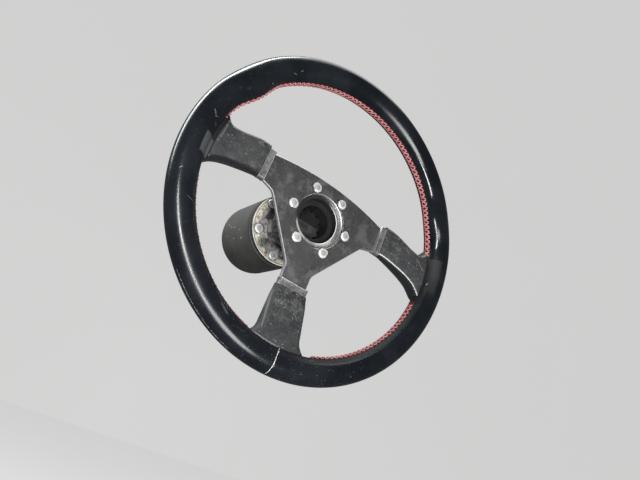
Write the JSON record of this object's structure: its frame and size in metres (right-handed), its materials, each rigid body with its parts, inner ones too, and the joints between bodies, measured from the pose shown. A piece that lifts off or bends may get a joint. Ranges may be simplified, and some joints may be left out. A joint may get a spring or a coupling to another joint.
{
  "type": "steering wheel",
  "caption": "Dished competition steering wheel with a padded leather rim, on a quick-release coupling, its boss flange and the end of the steering column.",
  "frame": {"origin": "centre of the rear end of the column tube, where its clamp grips, on the steering axis", "axes": "Y along the steering axis with the driver at -Y, +Z towards the top of the wheel when it is straight ahead, +X to the driver's right"},
  "size_m": [0.3348, 0.27, 0.3348],
  "materials": {
    "rim_leather": "smooth, worn glossy",
    "spoke_cover": "matt, dusty",
    "band_grey": "dull",
    "black_anodised": "matt black, dusty",
    "weathered_aluminium": "dull, stained",
    "black_plastic": "matt, dusty",
    "black_steel": "satin",
    "bare_steel": "machined",
    "bush_brass": "machined"
  },
  "bodies": {
    "column": {"column_tube": "black_steel", "column_shroud": "black_plastic", "column_bushes": "bush_brass"},
    "wheel": {"steering_shaft": "bare_steel", "boss_flange": "weathered_aluminium", "release_hub": "bare_steel", "release_collar": "black_anodised", "wheel_socket": "weathered_aluminium", "coupling_ring": "weathered_aluminium", "spoke_plate": "black_anodised", "rim_leather": "rim_leather", "spoke_cover_left": "spoke_cover", "spoke_cover_right": "spoke_cover", "spoke_cover_bottom": "spoke_cover", "spoke_band_left": "band_grey", "spoke_band_right": "band_grey", "spoke_band_bottom": "band_grey"}
  },
  "joints": [
    {"name": "steering_turn", "type": "hinge", "parent": "column", "child": "wheel", "pos_m": [0, 0, 0], "axis": [0, -1, 0], "range_deg": [-450, 450]}
  ]
}
